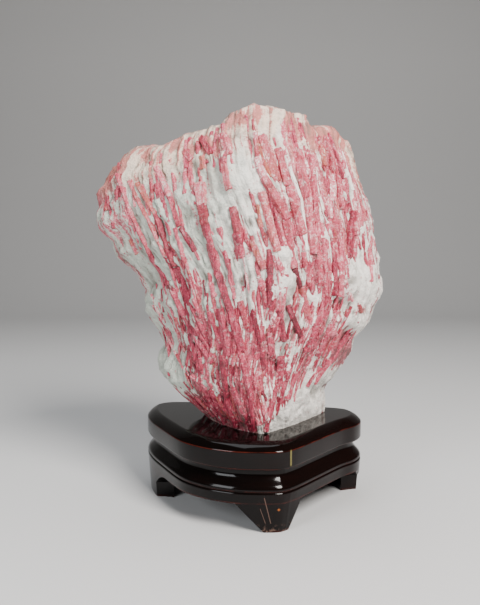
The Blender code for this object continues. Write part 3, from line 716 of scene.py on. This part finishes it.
def base_lacquer(settings):
    """Duller lacquer of the base, with scratches, a rusty spot and scuffs on its front foot."""
    f, colour, (x, y, z) = lacquer_finish("Moulded base lacquer", settings, 0.16, BASE_WEAR)
    front = f.step(y, -0.055, -0.060)
    for start, end, width in SCRATCHES:
        mark = segment_mask(f, x, z, start, end, width) * front
        colour = f.mix(mark * 0.4, colour, SCRATCH_TINT)
    spot = f.step(abs(x - 0.029) + abs(z - 0.019), 0.0016, 0.0008) * front
    colour = f.mix(spot * 0.7, colour, SPOT_TINT)
    scuff = f.step(z, 0.008, 0.0) * f.step(f.noise(300.0, 3.0), 0.52, 0.64) * front
    f.feed("Base Color", f.mix(scuff * 0.5, colour, SCUFF_TINT))
    smudge = f.noise(38.0, 4.0, None, 0.6)
    f.feed("Roughness", 0.11 + f.step(smudge, 0.45, 0.75) * 0.10 + scuff * 0.3)
    return f.material


def crystal_tree():
    """Node tree that sweeps an uneven many-sided pencil along every guide line."""
    tree = bpy.data.node_groups.new("Crystals along guide lines", "GeometryNodeTree")
    for name, kind in (
        ("Guide lines", "NodeSocketGeometry"), ("Sides", "NodeSocketInt"),
        ("Unevenness", "NodeSocketFloat"), ("Surface roughness", "NodeSocketFloat"),
        ("Roughness scale", "NodeSocketFloat"), ("Seed", "NodeSocketInt"),
        ("Material", "NodeSocketMaterial"),
    ):
        tree.interface.new_socket(name, in_out="INPUT", socket_type=kind)
    tree.interface.new_socket("Crystals", in_out="OUTPUT", socket_type="NodeSocketGeometry")
    g = NodeMaker(tree)
    entry = tree.nodes.new("NodeGroupInput")
    given = {socket.name: Wire(g, socket) for socket in entry.outputs if socket.name}
    lines = g.node("GeometryNodeMeshToCurve", None, {0: given["Guide lines"]})
    girth = g.node("GeometryNodeInputNamedAttribute", {"data_type": "FLOAT"}, {0: "girth"})
    circle = g.node("GeometryNodeCurvePrimitiveCircle", {"mode": "RADIUS"}, {
        "Resolution": given["Sides"], "Radius": 1.0,
    })
    swell = g.node("FunctionNodeRandomValue", {"data_type": "FLOAT"}, {
        2: 1.0 - given["Unevenness"], 3: 1.0, "Seed": given["Seed"],
    }, output=1)
    place = g.node("GeometryNodeInputPosition")
    scaled = g.node("ShaderNodeVectorMath", {"operation": "SCALE"}, {0: place, "Scale": swell})
    profile = g.node("GeometryNodeSetPosition", None, {"Geometry": circle, "Position": scaled})
    swept = g.node("GeometryNodeCurveToMesh", None, {
        "Curve": lines, "Profile Curve": profile, "Scale": girth, "Fill Caps": True,
    })
    pattern = g.node("ShaderNodeTexNoise", None, {
        "Scale": given["Roughness scale"], "Detail": 2.0, "Vector": place,
    })
    push = (pattern - 0.5) * given["Surface roughness"]
    normal = g.node("GeometryNodeInputNormal")
    offset = g.node("ShaderNodeVectorMath", {"operation": "SCALE"}, {0: normal, "Scale": push})
    worn = g.node("GeometryNodeSetPosition", None, {"Geometry": swept, "Offset": offset})
    flat = g.node("GeometryNodeSetShadeSmooth", None, {"Geometry": worn, "Shade Smooth": False})
    whole = g.node("GeometryNodeRealizeInstances", None, {0: flat})
    done = g.node("GeometryNodeSetMaterial", None, {
        "Geometry": whole, "Material": given["Material"],
    })
    g.node("NodeGroupOutput", None, {0: done})
    return tree


def grow(name, guides, material, settings, sides):
    """Turns guide lines into crystals with the node tree, and the result into a plain mesh."""
    tree = bpy.data.node_groups.get("Crystals along guide lines") or crystal_tree()
    mesh = bpy.data.meshes.new(name + "_guides")
    points, edges = [], []
    fields = {"girth": [], "tone": [], "warm": []}
    for stations, girths, tone, warm in guides:
        first = len(points)
        points += [tuple(place * MM) for place in stations]
        edges += [(first + i, first + i + 1) for i in range(len(stations) - 1)]
        fields["girth"] += [girth * MM for girth in girths]
        fields["tone"] += [tone] * len(stations)
        fields["warm"] += [warm] * len(stations)
    mesh.from_pydata(points, edges, [])
    for key, values in fields.items():
        mesh.attributes.new(key, "FLOAT", "POINT").data.foreach_set("value", values)
    guide = bpy.data.objects.new(name + "_guides", mesh)
    bpy.context.scene.collection.objects.link(guide)
    modifier = guide.modifiers.new("Crystals", "NODES")
    modifier.node_group = tree
    wanted = {
        "Sides": sides, "Unevenness": settings.unevenness, "Seed": settings.seed,
        "Surface roughness": settings.crystal_roughness,
        "Roughness scale": settings.crystal_roughness_scale, "Material": material,
    }
    for item in tree.interface.items_tree:
        if item.name in wanted:
            modifier[item.identifier] = wanted[item.name]
    bpy.context.view_layer.update()
    grown = guide.evaluated_get(bpy.context.evaluated_depsgraph_get())
    final = bpy.data.meshes.new_from_object(grown)
    bpy.data.objects.remove(guide)
    final.name = name
    if not final.polygons:
        raise RuntimeError(f"{name} came out empty")
    piece = bpy.data.objects.new(name, final)
    bpy.context.scene.collection.objects.link(piece)
    face_out(piece)
    return piece


def lay_crystal(tree, line, width, sink, station_step):
    """Drops a line of (x, z) points on to the stone and evens out its height over the surface."""
    (x0, z0), (x1, z1), face = line
    count = max(LEAST_STATIONS, round(math.hypot(x1 - x0, z1 - z0) / station_step) + 1)
    start, step = (-OUTSIDE, 1.0) if face == "front" else (OUTSIDE, -1.0)
    places, outs = [], []
    for share in np.linspace(0, 1, count):
        x, z = x0 + (x1 - x0) * share, z0 + (z1 - z0) * share
        origin = Vector((x * MM, start * MM, z * MM))
        hit, normal, _, _ = tree.ray_cast(origin, Vector((0, step, 0)))
        if hit is None:
            return None
        places.append(np.array(hit) / MM)
        outs.append(np.array((normal.x, normal.y, CRYSTAL_PITCH * normal.z)))
    places, out = np.array(places), np.mean(outs, axis=0)
    out /= np.linalg.norm(out)
    shares = np.linspace(-1, 1, count)
    bend = 2 if count > STRAIGHT_STATIONS else 1
    places[:, 1] = np.polyval(np.polyfit(shares, places[:, 1], bend), shares)
    places -= out * width * sink
    girths = np.full(count, width / 2)
    ends = (places[1] - places[0]) / np.linalg.norm(places[1] - places[0]) * width * TIP_LENGTH
    places = np.vstack([places[0] - ends, places, places[-1] + ends])
    girths = np.concatenate([[girths[0] * TIP_GIRTH], girths, [girths[-1] * TIP_GIRTH]])
    return places, girths


def stone_tree():
    """The quartz body's faces, ready for the search along a line."""
    body = bpy.data.objects["quartz_matrix"].data
    return BVHTree.FromPolygons(
        [v.co for v in body.vertices], [tuple(p.vertices) for p in body.polygons]
    )


def smooth_run(points, steps=24):
    """A smooth curve through the points, as short straight steps."""
    points = np.array(points, float)
    ends = np.vstack([2 * points[0] - points[1], points, 2 * points[-1] - points[-2]])
    curve = []
    for a, b, c, d in zip(ends, ends[1:], ends[2:], ends[3:]):
        for t in np.linspace(0, 1, steps, endpoint=False):
            square = (2 * a - 5 * b + 4 * c - d) * t ** 2
            cube = (3 * b - a - 3 * c + d) * t ** 3
            curve.append(0.5 * (2 * b + (c - a) * t + square + cube))
    curve.append(points[-1])
    return np.array(curve)


def plan_line():
    """The stand's widest line as a fine closed curve, with each point's length along it."""
    curve = smooth_run([SHARP_CORNER] + PLAN_RUN + [SHARP_CORNER])
    steps = np.linalg.norm(np.diff(curve, axis=0), axis=1)
    return curve, np.concatenate([[0.0], np.cumsum(steps)])


def plan_rows(distances):
    """Points and outward directions at distances along the widest line."""
    curve, lengths = plan_line()

    def at(distance):
        return np.stack([
            np.interp(distance % lengths[-1], lengths, curve[:, axis]) for axis in (0, 1)
        ], axis=-1)

    distances = np.asarray(distances, float)
    run = at(distances + CORNER_BLEND) - at(distances - CORNER_BLEND)
    run /= np.linalg.norm(run, axis=1)[:, None]
    return at(distances), np.stack([run[:, 1], -run[:, 0]], axis=1)


def stacked(rings):
    """Closed body from rings of equal length, the lowest first, with flat ends."""
    count = len(rings[0])
    faces = quad_rings(count, len(rings))
    faces.append(list(range(count))[::-1])
    faces.append([count * (len(rings) - 1) + i for i in range(count)])
    return np.concatenate(rings), faces


def lower_edge(distances, whole):
    """Height of the base's lower edge at distances round the stand."""
    height = np.full(len(distances), APRON_BOTTOM)
    for start, end, before, after, step in FEET:
        for i, distance in enumerate(distances):
            beyond = (distance - start + before + TOE_STEP) % whole - before - TOE_STEP
            length = end - start
            if 0 <= beyond <= length:
                height[i] = 0.0
                continue
            near = before + beyond if beyond < 0 else after + length - beyond
            run = before if beyond < 0 else after
            share = np.clip((near + TOE_STEP) / run, 0.0, 1.0)
            if 0 < share:
                drop = share if step == 0 else share ** 2
                height[i] = min(height[i], APRON_BOTTOM - (APRON_BOTTOM - step) * drop)
    return height


def colour_setting(name, description, default):
    """A colour that a user can change."""
    return FloatVectorProperty(
        name=name, description=description, default=default, subtype="COLOR"
    )


def length_setting(name, description, default):
    """A length in metres that a user can change."""
    return FloatProperty(name=name, description=description, default=default, unit="LENGTH")


def power_setting(name, description, default):
    """A lamp's power that a user can change."""
    return FloatProperty(name=name, description=description, default=default, unit="POWER")


def number_setting(name, description, default):
    """A whole number that a user can change."""
    return IntProperty(name=name, description=description, default=default)


class StoneSettings(bpy.types.PropertyGroup):
    columns: number_setting("Columns", "Mesh columns on each face", 205)
    rows: number_setting("Rows", "Mesh rows up the fan", 215)
    rib_height: length_setting("Rib height", "Relief of the ribs that follow the fan", 0.0016)
    grain_height: length_setting("Grain height", "Relief of the sugary grain", 0.001)
    unevenness: FloatProperty(
        name="Unevenness", description="How unequal a crystal's sides are",
        default=0.34, subtype="FACTOR",
    )
    crystal_roughness: length_setting("Crystal roughness", "Relief on a crystal's faces", 0.0030)
    crystal_roughness_scale: FloatProperty(
        name="Roughness scale", description="Fineness of the relief on a crystal",
        default=190.0,
    )
    small_front: number_setting("Small crystals, front", "Thin crystals tried on the front", 1000)
    small_back: number_setting("Small crystals, back", "Thin crystals tried on the back", 560)
    seed: number_setting("Seed", "Seed of every random choice", 7)
    # Painted light and shade of one quartz: lit on the right plane, shaded on the left plane
    lit_white: colour_setting("Lit quartz", "Quartz of the right plane", (0.88, 0.84, 0.78))
    shaded_white: colour_setting("Shaded quartz", "Quartz of the left plane", (0.54, 0.585, 0.51))
    cream: colour_setting("Weathered quartz", "Quartz of the broken top", (0.80, 0.60, 0.46))
    pale_pink: colour_setting("Pale pink", "Palest tourmaline", (0.72, 0.28, 0.31))
    pink: colour_setting("Pink", "Tourmaline of middle depth", (0.52, 0.075, 0.12))
    deep_red: colour_setting("Deep red", "Deep tourmaline", (0.29, 0.014, 0.042))
    dark_red: colour_setting("Dark red", "Darkest tourmaline", (0.10, 0.006, 0.014))
    rust: colour_setting("Rust", "Orange-brown coating", (0.48, 0.16, 0.07))


class StandSettings(bpy.types.PropertyGroup):
    samples: number_setting("Samples", "Mesh columns round the stand", 520)
    lacquer: colour_setting("Lacquer", "Near-black lacquer", (0.0022, 0.0014, 0.0012))
    lacquer_red: colour_setting(
        "Red lacquer", "Where the red wood shows through", (0.0065, 0.0020, 0.0016),
    )
    worn_edge: colour_setting("Worn edge", "Rubbed edges", (0.15, 0.022, 0.013))


class StageSettings(bpy.types.PropertyGroup):
    floor: colour_setting("Floor", "Plain pale floor", (0.62, 0.62, 0.62))
    key_power: power_setting("Key light", "Power of the main soft light", 46.0)
    fill_power: power_setting("Fill light", "Power of the weaker soft lights", 8.0)
    surround: FloatProperty(
        name="Surround", description="Strength of the even light from all sides",
        default=0.07,
    )


class MINERAL_OT_quartz_matrix(bpy.types.Operator):
    """Make the quartz body of the stone"""

    bl_idname = "mineral.quartz_matrix"
    bl_label = "Quartz matrix"

    def execute(self, context):
        settings = context.scene.mineral_stone
        points, fan, blush, stain = stone_sheet(settings)
        columns, rows = settings.columns, settings.rows
        count = 2 * columns
        below = points[:count].copy()
        below[:, 2] = BOARD_TOP - FOOT_BELOW_BOARD
        points = np.concatenate([below, points])
        fan, blush, stain = (np.concatenate([v[:count], v]) for v in (fan, blush, stain))
        faces = quad_rings(count, rows + 2)
        faces.append(list(range(count))[::-1])
        top = list(range(len(points) - count, len(points)))
        near = top[: columns + 1]
        far = [top[0]] + top[: columns: -1] + [top[columns]]
        lines, extra = broken_ledge(points, near, far)
        for low, high in zip(lines, lines[1:]):
            for i in range(columns):
                faces.append(list(dict.fromkeys([low[i], low[i + 1], high[i + 1], high[i]])))
        a, b = (np.array([row[i] for row in extra]) for i in (1, 2))
        share = np.array([row[3] for row in extra])
        points = np.concatenate([points, [row[0] for row in extra]])
        fan = np.concatenate([fan, fan[a] + (fan[b] - fan[a]) * share[:, None]])
        rise = LEDGE_BLUSH * np.sin(math.pi * share)
        blush, stain = (
            np.concatenate([v, v[a] + (v[b] - v[a]) * share + rise]) for v in (blush, stain)
        )
        piece = add_piece("quartz_matrix", points, faces, quartz_finish(settings), {
            "fan": fan, "blush": blush, "stain": stain,
        })
        face_out(piece)
        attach(piece, "root")
        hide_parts("specimen")
        return {"FINISHED"}


class MINERAL_OT_main_crystals(bpy.types.Operator):
    """Lay the main crystals along the front and the back of the fan"""

    bl_idname = "mineral.main_crystals"
    bl_label = "Main crystals"

    def execute(self, context):
        settings = context.scene.mineral_stone
        tree, guides = stone_tree(), []
        for x0, z0, x1, z1, width, tone, warm in CRYSTALS:
            laid = lay_crystal(tree, ((x0, z0), (x1, z1), "front"), width, MAIN_SINK, MAIN_STEP)
            if laid:
                guides.append((*laid, tone, warm))
        for a0, u0, a1, u1, width, tone in BACK_CRYSTALS:
            ends = elevation(a0, u0), elevation(a1, u1)
            laid = lay_crystal(tree, (*ends, "back"), width, MAIN_SINK, MAIN_STEP)
            if laid:
                guides.append((*laid, tone, BACK_WARM))
        material = bpy.data.materials.get("Pink tourmaline") or tourmaline_finish(settings)
        piece = grow("main_crystals", guides, material, settings, MAIN_SIDES)
        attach(piece, "root")
        return {"FINISHED"}


class MINERAL_OT_small_crystals(bpy.types.Operator):
    """Scatter thin crystals between the main ones, along the fan"""

    bl_idname = "mineral.small_crystals"
    bl_label = "Small crystals"

    def execute(self, context):
        settings = context.scene.mineral_stone
        draw = np.random.default_rng(settings.seed)
        tree, guides = stone_tree(), []
        for face, tries in (("front", settings.small_front), ("back", settings.small_back)):
            for _ in range(tries):
                across, up = draw.uniform(*SMALL_ACROSS), draw.uniform(*SMALL_UP)
                length, lean = draw.uniform(*SMALL_LENGTH), draw.normal(0, SMALL_LEAN)
                width = draw.uniform(*SMALL_WIDTH)
                width *= SMALL_FOOT_WIDTH + (1 - SMALL_FOOT_WIDTH) * up
                tone, warm = draw.uniform(*SMALL_TONE), max(0.0, draw.normal(*SMALL_WARM))
                low = max(SMALL_LOWEST, up - length)
                foot = elevation(np.clip(across + lean, *SMALL_INSIDE), low)
                ends = [elevation(across, up), foot]
                x, z = (ends[0] + ends[1]) / 2
                pink = PINK_START
                if face == "front":
                    pink += float(spots(BLUSH, np.array([x]), np.array([z]))[0])
                if draw.uniform() > pink * SMALL_CHANCE:
                    continue
                laid = lay_crystal(tree, (*ends, face), width, SMALL_SINK, SMALL_STEP)
                if laid:
                    deeper = DEEPER_FOOT * (1 - up) + (DEEPER_LEFT if x < LEFT_PART_END else 0.0)
                    guides.append((*laid, tone + deeper, warm))
        material = bpy.data.materials.get("Pink tourmaline") or tourmaline_finish(settings)
        piece = grow("small_crystals", guides, material, settings, SMALL_SIDES)
        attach(piece, "root")
        return {"FINISHED"}


class MINERAL_OT_top_board(bpy.types.Operator):
    """Make the stand's polished top board"""

    bl_idname = "mineral.top_board"
    bl_label = "Top board"

    def execute(self, context):
        settings = context.scene.mineral_stand
        whole = plan_line()[1][-1]
        places, outs = plan_rows(np.linspace(0, whole, settings.samples, endpoint=False))
        rings = [
            np.column_stack([places - outs * inset, np.full(len(places), height)])
            for inset, height in reversed(BOARD_PROFILE)
        ]
        points, faces = stacked(rings)
        piece = add_piece("polished_top_board", points, faces, top_lacquer(settings))
        face_out(piece)
        for flat in piece.data.polygons[-2:]:
            flat.use_smooth = False
        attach(piece, "root")
        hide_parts("stand_top_board")
        return {"FINISHED"}


class MINERAL_OT_moulded_base(bpy.types.Operator):
    """Make the stand's moulded base on its three bracket feet"""

    bl_idname = "mineral.moulded_base"
    bl_label = "Moulded base"

    def execute(self, context):
        settings = context.scene.mineral_stand
        whole = plan_line()[1][-1]
        distances = np.linspace(0, whole, settings.samples, endpoint=False)
        marks = [
            edge for start, end, *_ in FEET
            for edge in (start - TOE_STEP, start, end, end + TOE_STEP)
        ]
        distances = np.unique(np.concatenate([distances, np.array(marks) % whole]))
        places, outs = plan_rows(distances)
        heights = lower_edge(distances, whole)
        middle = np.array(STAND_MIDDLE)
        inward = middle - places
        inward /= np.linalg.norm(inward, axis=1)[:, None]
        frontness = np.clip((-places[:, 1] - FRONT_START) / FRONT_RUN, 0.0, 1.0)
        taper = SIDE_TOE_TAPER + (FRONT_TOE_TAPER - SIDE_TOE_TAPER) * frontness
        rings = [
            np.column_stack([places - outs * inset, np.full(len(places), height)])
            for inset, height in BASE_PROFILE
        ]
        for share in FOOT_SHARES:
            height = BEAD_FACE + (heights - BEAD_FACE) * share
            inset = BASE_PROFILE[-1][0] + taper * (BEAD_FACE - height) / BEAD_FACE
            rings.append(np.column_stack([places - outs * inset[:, None], height]))
        wall = places + inward * FOOT_WALL
        rings.append(np.column_stack([wall, heights]))
        rings.append(np.column_stack([wall, np.full(len(places), POCKET_CEILING)]))
        points, faces = stacked(rings)
        piece = add_piece("moulded_base", points, faces, base_lacquer(settings))
        face_out(piece)
        piece.data.set_sharp_from_angle(angle=math.radians(SHARP_ANGLE))
        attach(piece, "root")
        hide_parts("stand_base")
        return {"FINISHED"}


def add_floor(settings):
    """A plain floor that sweeps up into a wall behind the stand."""
    wall = [(FLOOR_FRONT, 0.0)] + [
        (SWEEP_START + SWEEP_RADIUS * math.sin(turn), SWEEP_RADIUS * (1 - math.cos(turn)))
        for turn in np.linspace(0, math.pi / 2, SWEEP_STEPS)
    ] + [(SWEEP_START + SWEEP_RADIUS, WALL_TOP)]
    points = [(x, y, z) for y, z in wall for x in (-FLOOR_HALF, FLOOR_HALF)]
    faces = [(2 * i, 2 * i + 1, 2 * i + 3, 2 * i + 2) for i in range(len(wall) - 1)]
    floor_finish = Finish("Floor", 0.7)
    floor_finish.shader.inputs["Base Color"].default_value = (*settings.floor, 1.0)
    floor = add_piece("floor", points, faces, floor_finish.material)


def add_lights(settings):
    """Three soft lights that aim at the stone, and an even light from all sides."""
    scene = bpy.context.scene
    for name, (spot, size, tint, strength) in LIGHTS.items():
        lamp = bpy.data.lights.new(name, "AREA")
        lamp.size, lamp.energy, lamp.color = size, getattr(settings, strength), tint
        light = bpy.data.objects.new(name, lamp)
        scene.collection.objects.link(light)
        light.location = spot
        aim = Vector(LIGHTS_AIM) - Vector(spot)
        light.rotation_euler = aim.to_track_quat("-Z", "Y").to_euler()
    world = scene.world or bpy.data.worlds.new("Surround")
    scene.world = world
    world.use_nodes = True
    sky = world.node_tree.nodes["Background"].inputs
    sky["Color"].default_value = SURROUND_TINT
    sky["Strength"].default_value = settings.surround


def add_camera():
    """The camera, in front of the stone and tilted a little down."""
    lens = bpy.data.cameras.new("camera")
    lens.lens = CAMERA_LENS
    lens.clip_end = 20.0
    camera = bpy.data.objects.new("camera", lens)
    bpy.context.scene.collection.objects.link(camera)
    camera.location = CAMERA_PLACE
    camera.rotation_euler = (math.radians(90 - CAMERA_TILT), 0.0, 0.0)
    bpy.context.scene.camera = camera


class MINERAL_OT_stage(bpy.types.Operator):
    """Set the floor, the soft lights and the camera"""

    bl_idname = "mineral.stage"
    bl_label = "Stage"

    def execute(self, context):
        settings = context.scene.mineral_stage
        add_floor(settings)
        add_lights(settings)
        add_camera()
        return {"FINISHED"}


class MINERAL_PT_panel(bpy.types.Panel):
    """Sidebar panel with a button for every piece"""

    bl_label = "Tourmaline in quartz"
    bl_idname = "MINERAL_PT_panel"
    bl_space_type = "VIEW_3D"
    bl_region_type = "UI"
    bl_category = "Mineral"

    def draw(self, context):
        for step in STEPS:
            self.layout.operator(step.bl_idname)
        for group in (context.scene.mineral_stone, context.scene.mineral_stand,
                      context.scene.mineral_stage):
            box = self.layout.box()
            for key in group.__annotations__:
                box.prop(group, key)


STEPS = (
    MINERAL_OT_quartz_matrix, MINERAL_OT_main_crystals, MINERAL_OT_small_crystals,
    MINERAL_OT_top_board, MINERAL_OT_moulded_base, MINERAL_OT_stage,
)
CLASSES = (StoneSettings, StandSettings, StageSettings, *STEPS, MINERAL_PT_panel)
GROUPS = {
    "mineral_stone": StoneSettings, "mineral_stand": StandSettings, "mineral_stage": StageSettings,
}


def register():
    for item in CLASSES:
        bpy.utils.register_class(item)
    for name, group in GROUPS.items():
        setattr(bpy.types.Scene, name, PointerProperty(type=group))


def unregister():
    for name in GROUPS:
        delattr(bpy.types.Scene, name)
    for item in reversed(CLASSES):
        bpy.utils.unregister_class(item)


def main():
    register()
    for step in STEPS:
        group, name = step.bl_idname.split(".")
        getattr(getattr(bpy.ops, group), name)()


if __name__ == "__main__":
    main()
